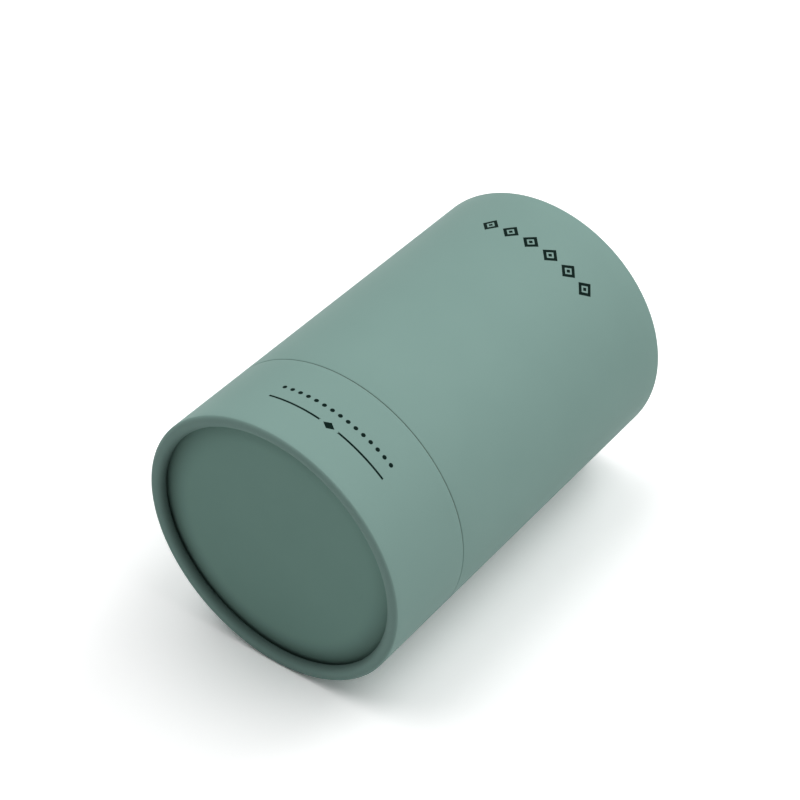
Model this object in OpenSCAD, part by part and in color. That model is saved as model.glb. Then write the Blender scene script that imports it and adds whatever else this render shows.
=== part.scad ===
// A cylindrical gift tube box made of paper board.
// The base stands on its rolled rim at z = 0, with the tube's axis along +Z.
// The lid slides off upwards over the neck that is glued into the base.

/* [Outside] */
// Outer diameter of the closed tube
outer_d = 80; // [60:1:120]
// Height of the closed tube
height = 124; // [95:1:200]
// Height of the base, up to the seam under the lid
base_h = 28.6; // [20:0.2:45]
// Thickness of the printed paper skin
skin_t = 0.2; // [0.1:0.05:0.4]
// Small break on the cut edges at the seam
edge_break = 0.12; // [0.05:0.01:0.18]

/* [Rolled rims] */
// How far the rolled edge reaches in past the base tube's bore
rim_ledge = 1.9; // [1.2:0.1:4]
// Depth of the end discs below the rims
rim_depth = 2.5; // [2:0.1:5]
// Rounding of a rim on its outer side
rim_round_out = 0.95; // [0.5:0.05:1.2]
// Rounding of a rim on its inner side
rim_round_in = 1.4; // [0.3:0.05:1.4]
// Rounding of the roll under the rim, where it meets the end disc
rim_round_under = 1.05; // [0.4:0.05:1.4]

/* [Lid] */
// Thickness of the board in the lid tube
lid_wall = 1.3; // [0.8:0.1:2.5]
// Thickness of the paper that lines the lid
lining_t = 0.12; // [0.08:0.02:0.3]

/* [End discs] */
// Thickness of the board discs
disc_t = 1.5; // [0.8:0.1:3]
// Thickness of the paper that covers a disc on its outside
disc_paper_t = 0.15; // [0.08:0.01:0.3]

/* [Neck] */
// Clearance between the neck and the lid's lining, on the radius
neck_gap = 0.3; // [0.15:0.05:0.6]
// Thickness of the board in the neck tube
neck_wall = 1.2; // [0.8:0.1:2.5]
// Height of the neck above the seam
neck_rise = 22; // [12:1:40]
// Thickness of the paper wrapped over the neck
neck_paper_t = 0.12; // [0.08:0.02:0.3]
// How far that paper is turned down inside the neck
neck_turn_in = 12; // [4:1:20]

/* [Bottle insert] */
// Clearance between the insert and the neck's paper, on the radius
insert_gap = 0.15; // [0.1:0.05:0.5]
// Depth of the insert's top below the neck's edge
insert_drop = 5; // [2:0.5:10]
// Thickness of the foam left under the bottle
insert_floor = 6; // [3:0.5:12]
// Thickness of the foam round the bottle
insert_wall = 7.5; // [4:0.5:12]
// Thickness of the card on top of the foam
insert_card_t = 0.5; // [0.3:0.1:1]

/* [Hidden] */
$fn = 128;
overlap = 1; // how far a cutting shape runs past the faces that it cuts
least_round = 0.05; // the board under the skin stays a little rounded
paper_colour = "#8ba199";
board_colour = "#b39a78";
lining_colour = "#d9d6cc";
foam_colour = "#2f3331";

outer_r = outer_d / 2;
board_r = outer_r - skin_t;
lid_bore_r = board_r - lid_wall;
lid_lining_r = lid_bore_r - lining_t;
neck_r = lid_lining_r - neck_gap;
base_bore_r = neck_r;
rim_bore_r = base_bore_r - rim_ledge;
rim_board_r = rim_bore_r + skin_t;
lid_h = height - base_h;
board_round_out = max(rim_round_out - skin_t, least_round);
board_round_in = max(rim_round_in - skin_t, least_round);
round_under = min(rim_round_under, rim_depth - rim_round_in - least_round);
board_round_under = max(round_under - skin_t, least_round);
rim_mid_z = rim_depth / 2;

disc_face_z = rim_depth + disc_paper_t;
floor_z = disc_face_z + disc_t;

neck_top_z = base_h + neck_rise;
neck_board_r = neck_r - neck_paper_t;
neck_bore_r = neck_board_r - neck_wall;
neck_mouth_r = neck_bore_r - neck_paper_t;

insert_r = neck_mouth_r - insert_gap;
insert_top_z = neck_top_z - insert_drop;
foam_top_z = insert_top_z - insert_card_t;
recess_r = insert_r - insert_wall;
recess_floor_z = floor_z + insert_floor;

// Shared shapes, drawn with the rolled rim at z = 0 and the cut edge at z = length

// What a rounded corner takes off, for a corner at the origin whose solid lies towards +X, +Y
module corner_waste(radius) {
    difference() {
        translate([-overlap, -overlap])
            square(radius + overlap);
        translate([radius, radius])
            circle(r = radius);
    }
}

// What a small 45 degree break takes off the outer top corner at [x, y]
module break_waste(x, y, size) {
    polygon([
        [x - size, y],
        [x, y - size],
        [x + overlap, y - size],
        [x + overlap, y + overlap],
        [x - size, y + overlap],
    ]);
}

// Half section of a rolled and pressed edge, from low to high, with three corners rounded
module rolled_edge(inner, outer, low, high, round_in, round_under, round_out) {
    difference() {
        translate([inner, low])
            square([outer - inner, high - low]);
        translate([inner, low])
            corner_waste(round_in);
        translate([inner, high])
            mirror([0, 1])
                corner_waste(round_under);
        translate([outer, low])
            mirror([1, 0])
                corner_waste(round_out);
    }
}

// Half section of a wound board tube whose lower edge is rolled inwards into a ledge
module board_section(length, bore_r) {
    rolled_edge(rim_board_r, board_r, skin_t, rim_depth - skin_t,
                board_round_in, board_round_under, board_round_out);
    translate([bore_r, rim_mid_z])
        square([board_r - bore_r, length - rim_mid_z]);
}

module rolled_tube(length, bore_r) {
    rotate_extrude()
        board_section(length, bore_r);
}

// The paper skin that runs down the tube and round the roll, to end between the roll and the disc
module tube_skin(length, bore_r) {
    rotate_extrude()
        difference() {
            union() {
                rolled_edge(rim_bore_r, outer_r, 0, rim_depth,
                            rim_round_in, round_under, rim_round_out);
                translate([board_r, rim_mid_z])
                    square([skin_t, length - rim_mid_z]);
            }
            board_section(length + overlap, bore_r);
            break_waste(outer_r, length, edge_break);
        }
}

// A round sheet or board that fills the bore from one height to another
module disc(radius, low, high) {
    translate([0, 0, low])
        cylinder(r = radius, h = high - low);
}

// A plain wound sleeve
module sleeve(outer, inner, low, high) {
    translate([0, 0, low])
        difference() {
            cylinder(r = outer, h = high - low);
            translate([0, 0, -overlap])
                cylinder(r = inner, h = high - low + 2 * overlap);
        }
}

// Puts a lid piece, drawn rim down, in its place at the top of the closed tube
module at_lid() {
    translate([0, 0, height])
        mirror([0, 0, 1])
            children();
}

// Pieces of the base

module base_tube() {
    color(board_colour)
        rolled_tube(base_h, base_bore_r);
}

module base_skin() {
    color(paper_colour)
        tube_skin(base_h, base_bore_r);
}

module base_disc() {
    color(board_colour)
        disc(base_bore_r, disc_face_z, floor_z);
}

module base_disc_paper() {
    color(paper_colour)
        disc(base_bore_r, rim_depth, disc_face_z);
}

// The neck stands on the base disc and is glued into the base tube
module neck_tube() {
    color(board_colour)
        sleeve(neck_board_r, neck_bore_r, floor_z, neck_top_z - neck_paper_t);
}

// One sheet that covers the neck outside, over its top edge and a little way down inside
module neck_wrap() {
    color(paper_colour)
        rotate_extrude() {
            translate([neck_board_r, floor_z])
                square([neck_paper_t, neck_top_z - floor_z]);
            translate([neck_mouth_r, neck_top_z - neck_paper_t])
                square([neck_r - neck_mouth_r, neck_paper_t]);
            translate([neck_mouth_r, neck_top_z - neck_turn_in])
                square([neck_paper_t, neck_turn_in]);
        }
}

// A foam plug with a blind round recess for the bottle
module insert_foam() {
    color(foam_colour)
        difference() {
            disc(insert_r, floor_z, foam_top_z);
            translate([0, 0, recess_floor_z])
                cylinder(r = recess_r, h = foam_top_z - recess_floor_z + overlap);
        }
}

module insert_card() {
    color(paper_colour)
        sleeve(insert_r, recess_r, foam_top_z, insert_top_z);
}

// Pieces of the lid

module lid_tube() {
    color(board_colour)
        at_lid()
            rolled_tube(lid_h, lid_bore_r);
}

module lid_skin() {
    color(paper_colour)
        at_lid()
            tube_skin(lid_h, lid_bore_r);
}

module lid_lining() {
    color(lining_colour)
        at_lid()
            sleeve(lid_bore_r, lid_lining_r, floor_z, lid_h);
}

module lid_disc() {
    color(board_colour)
        at_lid()
            disc(lid_bore_r, disc_face_z, floor_z);
}

module lid_disc_paper() {
    color(paper_colour)
        at_lid()
            disc(lid_bore_r, rim_depth, disc_face_z);
}

module lid_disc_lining() {
    color(lining_colour)
        at_lid()
            disc(lid_lining_r, floor_z, floor_z + lining_t);
}

base_tube();
base_skin();
base_disc();
base_disc_paper();
neck_tube();
neck_wrap();
insert_foam();
insert_card();
lid_tube();
lid_skin();
lid_lining();
lid_disc();
lid_disc_paper();
lid_disc_lining();
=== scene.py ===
import math

import bmesh
import bpy
from mathutils import Matrix, Vector, noise


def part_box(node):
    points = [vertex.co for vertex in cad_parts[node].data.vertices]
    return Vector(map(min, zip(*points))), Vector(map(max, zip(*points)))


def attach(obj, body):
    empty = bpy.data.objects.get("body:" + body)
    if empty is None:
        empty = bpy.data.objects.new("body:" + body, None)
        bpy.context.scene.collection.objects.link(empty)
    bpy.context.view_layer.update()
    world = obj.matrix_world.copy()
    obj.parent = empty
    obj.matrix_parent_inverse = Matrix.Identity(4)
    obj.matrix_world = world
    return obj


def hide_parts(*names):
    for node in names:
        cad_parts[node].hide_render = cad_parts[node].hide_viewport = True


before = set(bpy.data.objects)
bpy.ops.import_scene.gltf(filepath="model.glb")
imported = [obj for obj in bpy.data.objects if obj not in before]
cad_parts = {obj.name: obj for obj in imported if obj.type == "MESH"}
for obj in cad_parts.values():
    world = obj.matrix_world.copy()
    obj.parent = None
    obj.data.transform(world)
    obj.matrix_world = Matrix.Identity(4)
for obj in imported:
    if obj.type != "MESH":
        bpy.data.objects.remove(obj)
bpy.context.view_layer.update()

# Cylindrical gift tube box of wound board, covered in sage green paper.
# The tube's axis is +Z with the base's rolled rim at z = 0, and the printed side faces -Y.
# The photograph shows the tube lying down, so the studio floor is a plane beside it.

mm = 0.001

# Sizes that the CAD frame gives
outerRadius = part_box("base_skin")[1].x
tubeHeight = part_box("lid_skin")[1].z
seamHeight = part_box("base_skin")[1].z
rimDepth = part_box("base_disc_paper")[0].z
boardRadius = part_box("base_tube")[1].x
skinThickness = outerRadius - boardRadius
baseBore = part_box("base_disc")[1].x
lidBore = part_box("lid_disc")[1].x
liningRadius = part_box("lid_disc_lining")[1].x
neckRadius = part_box("neck_wrap")[1].x
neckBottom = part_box("neck_wrap")[0].z
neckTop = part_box("neck_wrap")[1].z
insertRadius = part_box("insert_foam")[1].x
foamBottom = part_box("insert_foam")[0].z
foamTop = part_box("insert_foam")[1].z
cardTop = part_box("insert_card")[1].z


# Camera and studio

# Fitted to the outline, the two ends and the seam in the photograph
cameraView = {
    "lens": 96.2,  # mm
    "sensor": 36,
    "nearest": 10 * mm,
    "aim": (-6.88 * mm, -3.87 * mm, 63.44 * mm),
    "distance": 579.45 * mm,
    "azimuth": 20.99,  # degrees, 0 looks along +Y
    "elevation": -38.74,
    "roll": 49.49,
}


def makeCamera(look):
    turn, rise, roll = (math.radians(look[k]) for k in ("azimuth", "elevation", "roll"))
    back = Vector((math.sin(turn) * math.cos(rise), -math.cos(turn) * math.cos(rise), math.sin(rise)))
    level = Vector((math.cos(turn), math.sin(turn), 0))
    up = back.cross(level)
    right = level * math.cos(roll) + up * math.sin(roll)
    camera = bpy.data.objects.new("photo_camera", bpy.data.cameras.new("photo_camera"))
    camera.data.lens = look["lens"]
    camera.data.sensor_width = look["sensor"]
    camera.data.clip_start = look["nearest"]
    axes = Matrix((right, back.cross(right), back)).transposed()
    stand = Vector(look["aim"]) + back * look["distance"]
    camera.matrix_world = Matrix.Translation(stand) @ axes.to_4x4()
    bpy.context.scene.collection.objects.link(camera)
    bpy.context.scene.camera = camera


makeCamera(cameraView)
print("camera placed")


# Material helpers

def linear(hexColour):
    parts = [int(hexColour[i:i + 2], 16) / 255 for i in (1, 3, 5)]
    return [p / 12.92 if p <= 0.04045 else ((p + 0.055) / 1.055) ** 2.4 for p in parts] + [1.0]


def addNode(tree, kind, inputs=None, **settings):
    node = tree.nodes.new(kind)
    for key, value in settings.items():
        setattr(node, key, value)
    for key, value in (inputs or {}).items():
        if isinstance(value, bpy.types.NodeSocket):
            tree.links.new(value, node.inputs[key])
        else:
            node.inputs[key].default_value = value
    return node


def newMaterial(name):
    material = bpy.data.materials.new(name)
    material.use_nodes = True
    material.node_tree.nodes.clear()
    return material, material.node_tree


# Sage green art paper, offset printed and matt laminated: an even mid green with hardly any
# sheen, faint cloudiness from the sheet's formation and a tooth too fine to see from a step away
sagePaper = {
    "skin": ("#829F98", "#7E9B94"),  # the two tones of its cloudiness
    "disc": ("#80A399", "#7C9F95"),  # the paper of the end discs
    "cloud": 18 * mm,
    "cloudDetail": 2.0,
    "tooth": 0.7 * mm,  # real tooth is about 0.1 mm, drawn coarser so that it shows close up
    "toothDetail": 3.0,
    "toothDepth": 0.012 * mm,
    "roughness": 0.5,
    "shine": 0.03,
}

# Painted shade, darkening the paper in the groove between a roll and its disc, most on the side
# that lies low: where it starts and where it would be complete, as radii, and how dark it gets there
grooveShade = {
    "colour": "#0C1815",
    "skin": (38.2 * mm, 35.0 * mm, 0.9),
    "disc": (28.5 * mm, 37.0 * mm, 0.5),
    "lowSide": 190.0,  # degrees round from the front
    "clear": -0.9,  # cosines away from the low side, where there is none and where there is most
    "full": 0.3,
}

# Dark green ink of the printed borders, which dries to the same sheen as the laminate over it
borderPrint = {
    "ink": "#031B16",
    "chainHeight": 105.6 * mm,  # middle of the chain of lozenges on the lid
    "chainLength": 39.6 * mm,
    "lozengePitch": 6.6 * mm,
    "lozengeWidth": 5.2 * mm,
    "lozengeTall": 5.8 * mm,
    "lozengeHollow": 0.52,  # as a share of the lozenge
    "lozengeHeart": 0.26,
    "dotsHeight": 17.0 * mm,  # row of dots on the base
    "dotsLength": 37.5 * mm,
    "dotPitch": 2.5 * mm,
    "dotRadius": 0.62 * mm,
    "ruleHeight": 12.4 * mm,  # rule with one lozenge in it, below the dots
    "ruleLength": 37.5 * mm,
    "ruleWidth": 0.6 * mm,
    "ruleLozengeWidth": 4.8 * mm,
    "ruleLozengeTall": 3.2 * mm,
    "ruleLozengeFill": 0.75,  # as shares of that width and height
    "ruleClearance": 1.3,
}

# Each step: what it makes, how, and from what. "along" runs over the paper from the middle of the
# front, and a size is 1 on a lozenge's outline and 0 in its middle
sizes = borderPrint
borderSteps = [
    ("turn", "ARCTAN2", "x", "front"),
    ("along", "MULTIPLY", "turn", outerRadius),
    ("aside", "ABSOLUTE", "along", 0),
    ("chainRise", "SUBTRACT", "z", sizes["chainHeight"]),
    ("chainRise", "ABSOLUTE", "chainRise", 0),
    ("chainCell", "PINGPONG", "along", sizes["lozengePitch"] / 2),
    ("chainCell", "SUBTRACT", sizes["lozengePitch"] / 2, "chainCell"),
    ("chainCell", "DIVIDE", "chainCell", sizes["lozengeWidth"] / 2),
    ("chainRise", "DIVIDE", "chainRise", sizes["lozengeTall"] / 2),
    ("chainSize", "ADD", "chainCell", "chainRise"),
    ("chainEdge", "LESS_THAN", "chainSize", 1),
    ("chainHollow", "GREATER_THAN", "chainSize", sizes["lozengeHollow"]),
    ("chain", "MULTIPLY", "chainEdge", "chainHollow"),
    ("chainHeart", "LESS_THAN", "chainSize", sizes["lozengeHeart"]),
    ("chain", "MAXIMUM", "chain", "chainHeart"),
    ("chainReach", "LESS_THAN", "aside", sizes["chainLength"] / 2),
    ("chain", "MULTIPLY", "chain", "chainReach"),
    ("dotRise", "SUBTRACT", "z", sizes["dotsHeight"]),
    ("dotCell", "PINGPONG", "along", sizes["dotPitch"] / 2),
    ("dotRise", "POWER", "dotRise", 2),
    ("dotCell", "POWER", "dotCell", 2),
    ("dotSize", "ADD", "dotRise", "dotCell"),
    ("dots", "LESS_THAN", "dotSize", sizes["dotRadius"] ** 2),
    ("dotReach", "LESS_THAN", "aside", sizes["dotsLength"] / 2),
    ("dots", "MULTIPLY", "dots", "dotReach"),
    ("ruleRise", "SUBTRACT", "z", sizes["ruleHeight"]),
    ("ruleRise", "ABSOLUTE", "ruleRise", 0),
    ("ruleAcross", "DIVIDE", "aside", sizes["ruleLozengeWidth"] / 2),
    ("ruleTall", "DIVIDE", "ruleRise", sizes["ruleLozengeTall"] / 2),
    ("ruleSize", "ADD", "ruleAcross", "ruleTall"),
    ("ruleHeart", "LESS_THAN", "ruleSize", sizes["ruleLozengeFill"]),
    ("rule", "LESS_THAN", "ruleRise", sizes["ruleWidth"] / 2),
    ("ruleReach", "LESS_THAN", "aside", sizes["ruleLength"] / 2),
    ("ruleClear", "GREATER_THAN", "ruleSize", sizes["ruleClearance"]),
    ("rule", "MULTIPLY", "rule", "ruleReach"),
    ("rule", "MULTIPLY", "rule", "ruleClear"),
    ("rule", "MAXIMUM", "rule", "ruleHeart"),
    ("ink", "MAXIMUM", "chain", "dots"),
    ("ink", "MAXIMUM", "ink", "rule"),
]


def borderMask(tree, place):
    # 1 where the ink lies
    known = dict(zip("xyz", addNode(tree, "ShaderNodeSeparateXYZ", {0: place}).outputs))
    known["front"] = addNode(tree, "ShaderNodeMath", {
        0: known["y"], 1: -1}, operation="MULTIPLY").outputs[0]
    for made, operation, first, second in borderSteps:
        inputs = {0: known.get(first, first), 1: known.get(second, second)}
        known[made] = addNode(tree, "ShaderNodeMath", inputs, operation=operation).outputs[0]
    return known["ink"]


def sageArtPaper(name, part, printed=False, paintedGrooveShade=False):
    material, tree = newMaterial(name)
    tones = sagePaper[part]
    place = addNode(tree, "ShaderNodeTexCoord").outputs["Object"]
    cloud = addNode(tree, "ShaderNodeTexNoise", {
        "Vector": place, "Scale": 1 / sagePaper["cloud"], "Detail": sagePaper["cloudDetail"]})
    colour = addNode(tree, "ShaderNodeMix", {
        "Factor": cloud.outputs["Fac"],
        6: linear(tones[0]),
        7: linear(tones[1]),
    }, data_type="RGBA").outputs[2]
    if printed:
        colour = addNode(tree, "ShaderNodeMix", {
            "Factor": borderMask(tree, place),
            6: colour,
            7: linear(borderPrint["ink"]),
        }, data_type="RGBA").outputs[2]
    if paintedGrooveShade:
        # Painted shade: darker towards the groove beside the roll, and towards the side that lies low
        start, end, most = grooveShade[part]
        flat = addNode(tree, "ShaderNodeVectorMath", {
            0: place, 1: (1.0, 1.0, 0.0)}, operation="MULTIPLY")
        radius = addNode(tree, "ShaderNodeVectorMath", {0: flat.outputs[0]}, operation="LENGTH")
        depth = addNode(tree, "ShaderNodeMapRange", {
            "Value": radius.outputs["Value"], "From Min": start, "From Max": end, "To Max": most,
        }, interpolation_type="SMOOTHSTEP")
        turn = math.radians(grooveShade["lowSide"])
        low = addNode(tree, "ShaderNodeVectorMath", {
            0: flat.outputs[0], 1: (math.sin(turn), -math.cos(turn), 0.0)}, operation="DOT_PRODUCT")
        cosine = addNode(tree, "ShaderNodeMath", {
            0: low.outputs["Value"], 1: radius.outputs["Value"]}, operation="DIVIDE")
        towards = addNode(tree, "ShaderNodeMapRange", {
            "Value": cosine.outputs[0], "From Min": grooveShade["clear"], "From Max": grooveShade["full"],
        }, interpolation_type="SMOOTHSTEP")
        shadeAmount = addNode(tree, "ShaderNodeMath", {
            0: depth.outputs[0], 1: towards.outputs[0]}, operation="MULTIPLY")
        colour = addNode(tree, "ShaderNodeMix", {
            "Factor": shadeAmount.outputs[0],
            6: colour,
            7: linear(grooveShade["colour"]),
        }, data_type="RGBA").outputs[2]
    tooth = addNode(tree, "ShaderNodeTexNoise", {
        "Vector": place, "Scale": 1 / sagePaper["tooth"], "Detail": sagePaper["toothDetail"]})
    bump = addNode(tree, "ShaderNodeBump", {
        "Height": tooth.outputs["Fac"],
        "Distance": sagePaper["toothDepth"],
        "Strength": 1.0,
    })
    shader = addNode(tree, "ShaderNodeBsdfPrincipled", {
        "Base Color": colour,
        "Roughness": sagePaper["roughness"],
        "Specular IOR Level": sagePaper["shine"],
        "Normal": bump.outputs["Normal"],
    })
    addNode(tree, "ShaderNodeOutputMaterial", {"Surface": shader.outputs[0]})
    return material


# Woodfree lining paper, uncoated: warm white, quite matt, with soft fibres
liningPaper = {
    "colour": "#DAD7CD",
    "fibreColour": "#CFCBC0",
    "fibre": 1.2 * mm,
    "fibreDetail": 5.0,
    "fibreDepth": 0.02 * mm,
    "roughness": 0.85,
    "shine": 0.3,
}


def woodfreeLiningPaper():
    material, tree = newMaterial("woodfree_lining_paper")
    place = addNode(tree, "ShaderNodeTexCoord").outputs["Object"]
    fibre = addNode(tree, "ShaderNodeTexNoise", {
        "Vector": place, "Scale": 1 / liningPaper["fibre"], "Detail": liningPaper["fibreDetail"]})
    colour = addNode(tree, "ShaderNodeMix", {
        "Factor": fibre.outputs["Fac"],
        6: linear(liningPaper["colour"]),
        7: linear(liningPaper["fibreColour"]),
    }, data_type="RGBA").outputs[2]
    bump = addNode(tree, "ShaderNodeBump", {
        "Height": fibre.outputs["Fac"], "Distance": liningPaper["fibreDepth"], "Strength": 1.0})
    shader = addNode(tree, "ShaderNodeBsdfPrincipled", {
        "Base Color": colour,
        "Roughness": liningPaper["roughness"],
        "Specular IOR Level": liningPaper["shine"],
        "Normal": bump.outputs["Normal"],
    })
    addNode(tree, "ShaderNodeOutputMaterial", {"Surface": shader.outputs[0]})
    return material


# Greyboard wound from recycled paper plies: brown grey and matt, with flecks, and fine rings
# round a cut end where the plies meet
greyBoard = {
    "colour": "#A39480",
    "pulpColour": "#8C7D69",
    "fleck": 0.5 * mm,
    "fleckDetail": 4.0,
    "ply": 0.42 * mm,
    "plyShare": 0.18,  # how far the rings shift the tint, beside the flecks
    "depth": 0.05 * mm,
    "roughness": 0.92,
    "shine": 0.25,
}


def woundGreyBoard():
    material, tree = newMaterial("wound_greyboard")
    place = addNode(tree, "ShaderNodeTexCoord").outputs["Object"]
    fleck = addNode(tree, "ShaderNodeTexNoise", {
        "Vector": place, "Scale": 1 / greyBoard["fleck"], "Detail": greyBoard["fleckDetail"]})
    flat = addNode(tree, "ShaderNodeVectorMath", {0: place, 1: (1.0, 1.0, 0.0)}, operation="MULTIPLY")
    radius = addNode(tree, "ShaderNodeVectorMath", {0: flat.outputs[0]}, operation="LENGTH")
    turns = addNode(tree, "ShaderNodeMath", {
        0: radius.outputs["Value"], 1: 2 * math.pi / greyBoard["ply"]}, operation="MULTIPLY")
    ring = addNode(tree, "ShaderNodeMath", {0: turns.outputs[0]}, operation="SINE")
    tint = addNode(tree, "ShaderNodeMath", {
        0: ring.outputs[0], 1: greyBoard["plyShare"], 2: fleck.outputs["Fac"],
    }, operation="MULTIPLY_ADD", use_clamp=True)
    colour = addNode(tree, "ShaderNodeMix", {
        "Factor": tint.outputs[0],
        6: linear(greyBoard["colour"]),
        7: linear(greyBoard["pulpColour"]),
    }, data_type="RGBA").outputs[2]
    bump = addNode(tree, "ShaderNodeBump", {
        "Height": tint.outputs[0], "Distance": greyBoard["depth"], "Strength": 1.0})
    shader = addNode(tree, "ShaderNodeBsdfPrincipled", {
        "Base Color": colour,
        "Roughness": greyBoard["roughness"],
        "Specular IOR Level": greyBoard["shine"],
        "Normal": bump.outputs["Normal"],
    })
    addNode(tree, "ShaderNodeOutputMaterial", {"Surface": shader.outputs[0]})
    return material


# Closed-cell foam, sliced and die cut: near black and dull, pitted with cut cells
cellFoam = {
    "colour": "#26292A",
    "cellColour": "#1A1C1D",
    "cell": 0.6 * mm,
    "cellDepth": 0.12 * mm,
    "cellStrength": 0.8,
    "roughness": 0.9,
    "shine": 0.3,
}


def dieCutFoam():
    material, tree = newMaterial("die_cut_closed_cell_foam")
    place = addNode(tree, "ShaderNodeTexCoord").outputs["Object"]
    cells = addNode(tree, "ShaderNodeTexVoronoi", {"Vector": place, "Scale": 1 / cellFoam["cell"]})
    colour = addNode(tree, "ShaderNodeMix", {
        "Factor": cells.outputs["Distance"],
        6: linear(cellFoam["cellColour"]),
        7: linear(cellFoam["colour"]),
    }, data_type="RGBA").outputs[2]
    bump = addNode(tree, "ShaderNodeBump", {
        "Height": cells.outputs["Distance"],
        "Distance": cellFoam["cellDepth"],
        "Strength": cellFoam["cellStrength"],
    })
    shader = addNode(tree, "ShaderNodeBsdfPrincipled", {
        "Base Color": colour,
        "Roughness": cellFoam["roughness"],
        "Specular IOR Level": cellFoam["shine"],
        "Normal": bump.outputs["Normal"],
    })
    addNode(tree, "ShaderNodeOutputMaterial", {"Surface": shader.outputs[0]})
    return material


# The printed skin and the disc paper carry painted shade in the groove beside the roll
printedPaper = sageArtPaper("printed_sage_art_paper", "skin", printed=True, paintedGrooveShade=True)
plainPaper = sageArtPaper("sage_art_paper", "skin")
discPaper = sageArtPaper("green_art_paper", "disc", paintedGrooveShade=True)
whiteLining = woodfreeLiningPaper()
boardEnd = woundGreyBoard()
foamCut = dieCutFoam()
print("materials made")


# Turned sheets: every piece is a closed outline, as (radius, height), carried round the axis

lapJoint = {
    "place": 180.0,  # degrees round from the front, at the back of the tube
    "step": 0.13 * mm,
    "fade": 30.0,  # degrees over which the sheet settles back beside the step
    "edge": 0.12,  # degrees that the cut edge takes
    "still": lidBore,  # nothing sinks within this radius
    "whole": boardRadius,  # and all of the sheet beyond this one does
}

segments = 288  # round the axis
arcSteps = 8
sharpAngle = 38  # degrees between two faces, from which their edge stays sharp
mergeWithin = 0.0001 * mm


def arc(centre, reach, start, end, steps=arcSteps):
    # reach is the radius, or the half width and half height of an oval
    across, up = reach if isinstance(reach, tuple) else (reach, reach)
    turns = [math.radians(start + (end - start) * i / steps) for i in range(steps + 1)]
    return [(centre[0] + across * math.cos(t), centre[1] + up * math.sin(t)) for t in turns]


def spaced(start, end, count):
    # Points strictly between two corners of an outline
    parts = [i / (count + 1) for i in range(1, count + 1)]
    return [(start[0] + (end[0] - start[0]) * t, start[1] + (end[1] - start[1]) * t) for t in parts]


def share(value, start, end):
    return min(max((value - start) / (end - start), 0.0), 1.0)


def turnedSheet(name, outline, settle=None, lap=None):
    # settle(turn, radius, height) returns the moved (radius, height); lap cuts a step at one angle
    angles = [360 * i / segments for i in range(segments)]
    if lap:
        angles = [(lap["place"] + a) % 360 for a in angles] + [(lap["place"] + lap["edge"]) % 360]
        angles.sort()
    points, faces = [], []
    for angle in angles:
        turn = math.radians(angle)
        past = (angle - lap["place"]) % 360 if lap else 0
        drop = lap["step"] * math.exp(-past / lap["fade"]) if lap and past > 0 else 0.0
        for radius, height in outline:
            sunk = drop * share(radius, lap["still"], lap["whole"]) if drop else 0.0
            if settle:
                radius, height = settle(turn, radius, height)
            radius -= sunk
            points.append((radius * math.sin(turn), -radius * math.cos(turn), height))
    count = len(outline)
    for i in range(len(angles)):
        j = (i + 1) % len(angles)
        for k in range(count):
            m = (k + 1) % count
            if outline[k][0] == outline[m][0] == 0:
                continue
            faces.append((i * count + k, j * count + k, j * count + m, i * count + m))
    mesh = bpy.data.meshes.new(name)
    mesh.from_pydata(points, [], faces)
    mesh.validate()
    piece = bpy.data.objects.new(name, mesh)
    bpy.context.scene.collection.objects.link(piece)
    finishMesh(piece)
    return piece


def finishMesh(piece):
    bm = bmesh.new()
    bm.from_mesh(piece.data)
    bmesh.ops.remove_doubles(bm, verts=bm.verts, dist=mergeWithin)
    bmesh.ops.recalc_face_normals(bm, faces=bm.faces)
    for face in bm.faces:
        face.smooth = True
    bm.to_mesh(piece.data)
    bm.free()
    piece.data.set_sharp_from_angle(angle=math.radians(sharpAngle))


def dress(piece, material, body, nodeName):
    piece.data.materials.append(material)
    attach(piece, body)
    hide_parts(nodeName)


# Paper skin and the board tube under it, with their rolled rim

skinShape = {
    "crown": 38.85 * mm,  # radius at which the roll stands out furthest
    "outerFall": 0.8 * mm,  # how far its outer side runs down to the wall
    "outerSteps": 10,
    "innerFall": 1.9 * mm,  # and its inner side to its narrowest
    "innerSteps": 12,
    "roundUnder": 0.6 * mm,
    "rimBore": 36.18 * mm,
    "cutRound": (0.19 * mm, 0.42 * mm),  # softening of the cut edge at the seam, across and along
    "cutSteps": 6,
    "seamGap": 0.12 * mm,  # the closed lid doesn't quite meet the base
    "boardCut": 0.2 * mm,
    "boardCutSteps": 4,
    "rimWave": 0.05 * mm,  # unevenness left by the rolling
    "rimWaves": 2.3,  # how quickly it changes round the rim
    "wallWave": 0.03 * mm,
    "wallWaves": 1.7,
    "wallWavesUp": 30,  # and up the wall, per metre
    "wallRows": 14,
    "baseSeed": 3.0,  # places in the noise, so that the two lengths differ
    "lidSeed": 7.0,
}


def rollOutline(inset):
    # The roll's section from the wall, over its crown and down to where it turns in under itself
    s = skinShape
    crown, inner, under = s["crown"], s["rimBore"], s["roundUnder"]
    outerReach = (outerRadius - crown - inset, s["outerFall"] - inset)
    innerReach = (crown - inner - inset, s["innerFall"] - inset)
    outer = arc((crown, s["outerFall"]), outerReach, 0, -90, s["outerSteps"])
    inwards = arc((crown, s["innerFall"]), innerReach, -90, -180, s["innerSteps"])
    back = arc((inner + under, rimDepth - under), under - inset, 180, 90)
    return outer + inwards[1:] + back[1:]


def skinOutline(length, bore):
    s, r, t = skinShape, outerRadius, skinThickness
    across, along = s["cutRound"]
    outside = arc((r - across, length - along), s["cutRound"], 90, 0, s["cutSteps"])
    outside += spaced((r, length - along), (r, s["outerFall"]), s["wallRows"])
    outside += rollOutline(0) + [(bore, rimDepth)]
    inside = [(bore, rimDepth - t)] + rollOutline(t)[::-1] + [(r - t, length - s["boardCut"] / 2)]
    return outside + inside


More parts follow.
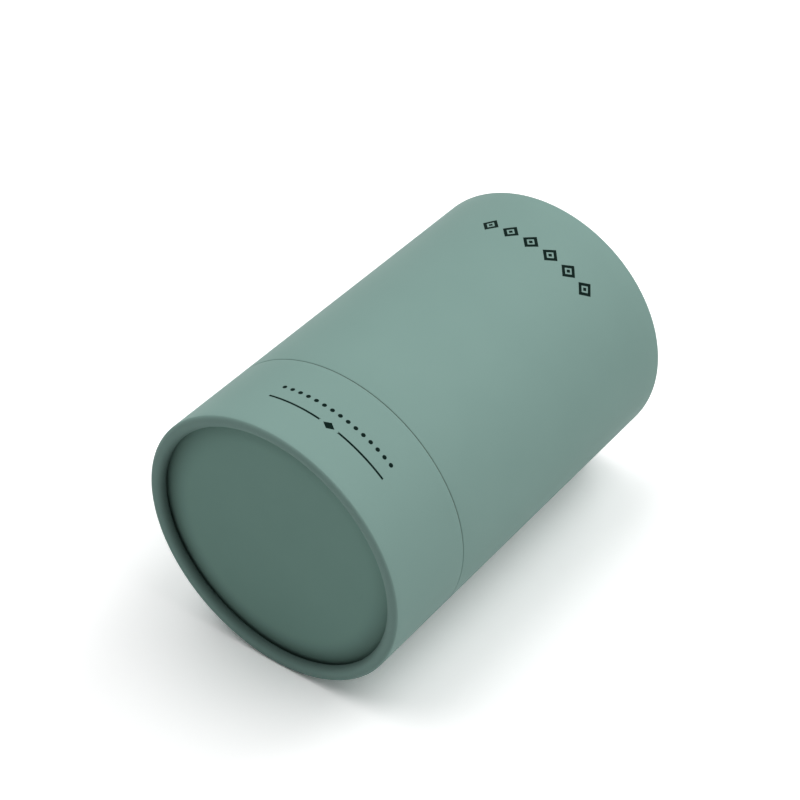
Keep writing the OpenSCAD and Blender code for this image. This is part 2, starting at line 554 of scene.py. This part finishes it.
def boardOutline(length, bore):
    s, r = skinShape, boardRadius
    cut = s["boardCut"]
    outside = arc((r - cut, length - cut), cut, 90, 0, s["boardCutSteps"])
    outside += spaced((r, length - cut), (r, s["outerFall"]), s["wallRows"])
    outside += rollOutline(skinThickness)
    inside = [(bore, rimDepth - skinThickness)]
    inside += spaced((bore, rimDepth - skinThickness), (bore, length - cut), s["wallRows"])
    return outside + inside + arc((bore + cut, length - cut), cut, 180, 90, s["boardCutSteps"])


def rolledUnevenly(seed):
    # Only ever moves the sheet inwards, so that the tube keeps its size
    s = skinShape

    def settle(turn, radius, height):
        ring = Vector((math.cos(turn), math.sin(turn), seed))
        near = max(0.0, 1 - height / rimDepth)
        depth = 0.5 + 0.5 * noise.noise(ring * s["rimWaves"])
        across = s["wallWaves"]
        place = Vector((ring.x * across, ring.y * across, seed + height * s["wallWavesUp"]))
        wall = 0.5 + 0.5 * noise.noise(place)
        wall *= share(radius, lidBore, boardRadius)
        return radius - s["wallWave"] * wall, height + s["rimWave"] * near * depth
    return settle


# A lid piece is drawn with its rim down, as in the base, and turned over

def mirrored(outline):
    return [(radius, tubeHeight - height) for radius, height in outline]


def flipped(settle):
    def moved(turn, radius, height):
        radius, height = settle(turn, radius, tubeHeight - height)
        return radius, tubeHeight - height
    return moved


baseLength = seamHeight - skinShape["seamGap"] / 2
lidLength = tubeHeight - seamHeight - skinShape["seamGap"] / 2
baseSettle = rolledUnevenly(skinShape["baseSeed"])
lidSettle = flipped(rolledUnevenly(skinShape["lidSeed"]))
baseSkin = turnedSheet("base_paper_skin", skinOutline(baseLength, baseBore), baseSettle, lapJoint)
dress(baseSkin, printedPaper, "base", "base_skin")
baseTube = turnedSheet("base_board_tube", boardOutline(baseLength, baseBore), baseSettle, lapJoint)
dress(baseTube, boardEnd, "base", "base_tube")
lidSkin = turnedSheet("lid_paper_skin", mirrored(skinOutline(lidLength, lidBore)), lidSettle, lapJoint)
dress(lidSkin, printedPaper, "lid", "lid_skin")
lidTube = turnedSheet("lid_board_tube", mirrored(boardOutline(lidLength, lidBore)), lidSettle, lapJoint)
dress(lidTube, boardEnd, "lid", "lid_tube")
print("paper skins and board tubes made")


# End discs: paper glued over board, pressed a little hollow, with an edge that falls away under
# the roll

discShape = {
    "paper": 0.15 * mm,
    "hollow": 0.5 * mm,
    "edgeStart": 31.5 * mm,
    "edgeFall": 1.2 * mm,
    "wave": 0.03 * mm,
    "waves": 1.8,  # how quickly it changes over the disc
    "baseSeed": 1.0,
    "lidSeed": 5.0,
    "rings": 26,
    "edgeRings": 14,
}


def discFace(radius, cover=0.0):
    # Depth of the disc's shown face behind the rim
    d = discShape
    inner = min(radius / d["edgeStart"], 1.0)
    outer = max(radius - d["edgeStart"], 0.0) / (lidBore - d["edgeStart"])
    return rimDepth + cover + d["hollow"] * (1 - inner ** 2) + d["edgeFall"] * outer ** 2


def discRadii(bore):
    d = discShape
    start, steps = d["edgeStart"], d["edgeRings"]
    inner = [start * math.sin(0.5 * math.pi * i / d["rings"]) for i in range(d["rings"])]
    return inner + [start + (bore - start) * i / steps for i in range(steps + 1)]


def discPaperOutline(bore):
    # The paper's edge is pressed up against the bore as far as the roll
    paper = discShape["paper"]
    shown = [(r, discFace(r)) for r in discRadii(bore - paper)]
    hidden = [(r, discFace(r, paper)) for r in reversed(discRadii(bore))]
    return shown + [(bore - paper, rimDepth), (bore, rimDepth)] + hidden


def discBoardOutline(bore, back):
    shown = [(r, discFace(r, discShape["paper"])) for r in discRadii(bore)]
    return shown + [(bore, back), (0, back)]


def discWave(seed):
    # None at the edge, where the disc is glued in
    def settle(turn, radius, height):
        part = radius / lidBore
        place = Vector((part * math.cos(turn), part * math.sin(turn), seed)) * discShape["waves"]
        return radius, height + discShape["wave"] * (0.5 + 0.5 * noise.noise(place)) * (1 - part ** 4)
    return settle


baseWave = discWave(discShape["baseSeed"])
lidWave = flipped(discWave(discShape["lidSeed"]))
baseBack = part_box("base_disc")[1].z
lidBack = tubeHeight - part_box("lid_disc")[0].z
basePaper = turnedSheet("base_end_paper", discPaperOutline(baseBore), baseWave)
dress(basePaper, discPaper, "base", "base_disc_paper")
baseBoard = turnedSheet("base_end_board", discBoardOutline(baseBore, baseBack), baseWave)
dress(baseBoard, boardEnd, "base", "base_disc")
lidPaper = turnedSheet("lid_end_paper", mirrored(discPaperOutline(lidBore)), lidWave)
dress(lidPaper, discPaper, "lid", "lid_disc_paper")
lidBoard = turnedSheet("lid_end_board", mirrored(discBoardOutline(lidBore, lidBack)), lidWave)
dress(lidBoard, boardEnd, "lid", "lid_disc")
print("end discs covered")


# Neck paper, folded over the board's top edge and turned down inside

neckShape = {
    "paper": 0.12 * mm,
    "board": 1.2 * mm,
    "turnIn": 12 * mm,
    "fold": 0.45 * mm,
    "rows": 8,
    "turnInRows": 3,
}
neckLap = dict(lapJoint, place=150.0, step=0.08 * mm, still=0.0, whole=neckShape["turnIn"])


def neckOutline():
    n = neckShape
    fold, paper = n["fold"], n["paper"]
    inner = neckRadius - n["board"] - 2 * paper
    foldHeight, inEnd = neckTop - fold, neckTop - n["turnIn"]
    outline = [(neckRadius, neckBottom)]
    outline += spaced((neckRadius, neckBottom), (neckRadius, foldHeight), n["rows"])
    outline += arc((neckRadius - fold, foldHeight), fold, 0, 90)
    outline += arc((inner + fold, foldHeight), fold, 90, 180)
    outline += spaced((inner, foldHeight), (inner, inEnd), n["turnInRows"])
    outline += [(inner, inEnd), (inner + paper, inEnd)]
    outline += arc((inner + fold, foldHeight), fold - paper, 180, 90)
    outline += arc((neckRadius - fold, foldHeight), fold - paper, 90, 0)
    return outline + [(neckRadius - paper, neckBottom)]


neckPaper = turnedSheet("neck_paper_wrap", neckOutline(), lap=neckLap)
dress(neckPaper, plainPaper, "base", "neck_wrap")


# Bottle insert: a card ring on die cut foam

insertShape = {
    "recess": 28.99 * mm,  # radius of the place for the bottle
    "floor": 6 * mm,
    "edgeBreak": 0.2 * mm,
    "mouthRound": 0.5 * mm,
    "mouthSteps": 5,
    "wallRows": 5,
    "floorRound": 1.2 * mm,
    "floorSteps": 6,
    "floorRings": 5,
    "cardRound": 0.12 * mm,
    "cardSteps": 4,
}


def foamOutline():
    f = insertShape
    r, low = f["recess"], foamBottom + f["floor"]
    edge, mouth, corner = f["edgeBreak"], f["mouthRound"], f["floorRound"]
    outline = [(insertRadius, foamBottom)]
    outline += [(insertRadius, foamTop - edge), (insertRadius - edge, foamTop)]
    outline += arc((r + mouth, foamTop - mouth), mouth, 90, 180, f["mouthSteps"])
    outline += spaced((r, foamTop - mouth), (r, low + corner), f["wallRows"])
    outline += arc((r - corner, low + corner), corner, 0, -90, f["floorSteps"])
    outline += [(r * (1 - i / f["floorRings"]), low) for i in range(1, f["floorRings"] + 1)]
    return outline + [(0, foamBottom)]


def cardOutline():
    f = insertShape
    inner, outer, e = f["recess"], insertRadius, f["cardRound"]
    corners = [(inner + e, cardTop - e, 90), (inner + e, foamTop + e, 180),
               (outer - e, foamTop + e, 270), (outer - e, cardTop - e, 0)]
    return [point for x, z, start in corners
            for point in arc((x, z), e, start, start + 90, f["cardSteps"])]


foamPlug = turnedSheet("foam_plug", foamOutline())
dress(foamPlug, foamCut, "base", "insert_foam")
cardRing = turnedSheet("card_ring", cardOutline())
dress(cardRing, plainPaper, "base", "insert_card")
print("neck and insert made")


# Lid lining, and the two pieces that keep their CAD mesh

liningShape = {
    "rows": 10,
    "edge": 0.05 * mm,  # how far it stops short of the seam
}


def liningOutline():
    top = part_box("lid_lining")[1].z
    low = seamHeight + liningShape["edge"]
    inside = spaced((liningRadius, low), (liningRadius, top), liningShape["rows"])
    return [(liningRadius, low)] + inside + [(liningRadius, top), (lidBore, top), (lidBore, low)]


lidLining = turnedSheet("lid_lining_paper", liningOutline())
dress(lidLining, whiteLining, "lid", "lid_lining")

nodeFinish = {
    "neck_tube": boardEnd,
    "lid_disc_lining": whiteLining,
}
for nodeName, material in nodeFinish.items():
    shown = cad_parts[nodeName]
    shown.data.materials.clear()
    shown.data.materials.append(material)
print("boards dressed")


# Studio: the sweep that the tube lies on in the photograph, and soft lamps round it

studio = {
    "floorTurn": 15.2,  # which way is up while the tube lies: degrees from the front towards -X
    "floorHalf": 1.5,  # metres from its middle to a side
    "floorWhite": 1.27,  # the sweep as the camera sees it, where 1 is paper white
    "floorBounce": 0.69,  # and what it throws back on the tube
    "gap": 0.05 * mm,  # between the tube and the sweep
    "skyAtLid": 0.69,  # the sky is brighter over the lid's end than over the base's
    "skyAtBase": 0.05,
}

# Each lamp: degrees above the sweep, degrees round from the lid's end, strength, softness in degrees
lamps = {
    "lid_end_lamp": (40, 342, 0.76, 40),
    "low_right_lamp": (16, 300, 0.45, 40),
    "high_left_lamp": (64, 60, 0.38, 40),
    "base_left_lamp": (64, 120, 0.74, 40),
    "high_right_lamp": (64, 300, 0.6, 40),
}

away = math.radians(studio["floorTurn"])
sweepUp = Vector((-math.sin(away), -math.cos(away), 0))


def seenDirectly(tree):
    # 1 for what the camera sees straight or in a gloss or through glass, 0 for light on its way
    ray = addNode(tree, "ShaderNodeLightPath")
    gloss = addNode(tree, "ShaderNodeMath", {
        0: ray.outputs["Is Camera Ray"], 1: ray.outputs["Is Glossy Ray"]}, operation="MAXIMUM")
    return addNode(tree, "ShaderNodeMath", {
        0: gloss.outputs[0], 1: ray.outputs["Is Transmission Ray"]}, operation="MAXIMUM").outputs[0]


def whiteSweep():
    # Matt white card. It is clear from behind, and so is all of it for a view that came through it
    material, tree = newMaterial("matt_white_card")
    level = addNode(tree, "ShaderNodeMapRange", {
        "Value": seenDirectly(tree), "To Min": studio["floorBounce"], "To Max": studio["floorWhite"]})
    card = addNode(tree, "ShaderNodeBsdfDiffuse", {"Color": level.outputs[0]})
    clear = addNode(tree, "ShaderNodeBsdfTransparent")
    back = addNode(tree, "ShaderNodeNewGeometry").outputs["Backfacing"]
    passed = addNode(tree, "ShaderNodeLightPath").outputs["Transparent Depth"]
    through = addNode(tree, "ShaderNodeMath", {0: back, 1: passed}, operation="ADD", use_clamp=True)
    mix = addNode(tree, "ShaderNodeMixShader", {
        0: through.outputs[0], 1: card.outputs[0], 2: clear.outputs[0]})
    addNode(tree, "ShaderNodeOutputMaterial", {"Surface": mix.outputs[0]})
    return material


def makeSweep():
    side = sweepUp.cross(Vector((0, 0, 1)))
    half = studio["floorHalf"]
    middle = sweepUp * (-outerRadius - studio["gap"])
    signs = ((-1, -1), (1, -1), (1, 1), (-1, 1))
    corners = [middle + side * a * half + Vector((0, 0, b * half)) for a, b in signs]
    mesh = bpy.data.meshes.new("sweep")
    mesh.from_pydata(corners, [], [(0, 1, 2, 3)])
    if mesh.polygons[0].normal.dot(sweepUp) < 0:
        mesh.flip_normals()
    sweep = bpy.data.objects.new("sweep", mesh)
    mesh.materials.append(whiteSweep())
    bpy.context.scene.collection.objects.link(sweep)


def makeSky():
    world = bpy.data.worlds.new("studio_sky")
    bpy.context.scene.world = world
    world.use_nodes = True
    tree = world.node_tree
    tree.nodes.clear()
    towards = addNode(tree, "ShaderNodeTexCoord").outputs["Generated"]
    height = addNode(tree, "ShaderNodeSeparateXYZ", {0: towards}).outputs["Z"]
    light = addNode(tree, "ShaderNodeMapRange", {
        "Value": height, "From Min": -1.0, "From Max": 1.0,
        "To Min": studio["skyAtBase"], "To Max": studio["skyAtLid"]})
    level = addNode(tree, "ShaderNodeMix", {"Factor": seenDirectly(tree), 2: light.outputs[0], 3: 1.0})
    sky = addNode(tree, "ShaderNodeBackground", {"Color": (1, 1, 1, 1), "Strength": level.outputs[0]})
    addNode(tree, "ShaderNodeOutputWorld", {"Surface": sky.outputs[0]})


def makeLamp(name, rise, turn, strength, softness):
    rise, turn = math.radians(rise), math.radians(turn)
    lidEnd = Vector((0, 0, 1))
    level = lidEnd * math.cos(turn) + sweepUp.cross(lidEnd) * math.sin(turn)
    toLamp = sweepUp * math.sin(rise) + level * math.cos(rise)
    light = bpy.data.lights.new(name, "SUN")
    light.energy = strength
    light.angle = math.radians(softness)
    lamp = bpy.data.objects.new(name, light)
    lamp.rotation_euler = toLamp.to_track_quat("Z", "Y").to_euler()
    bpy.context.scene.collection.objects.link(lamp)


makeSweep()
makeSky()
for lampName, look in lamps.items():
    makeLamp(lampName, *look)
bpy.context.scene.view_settings.view_transform = "Standard"
print("studio set")
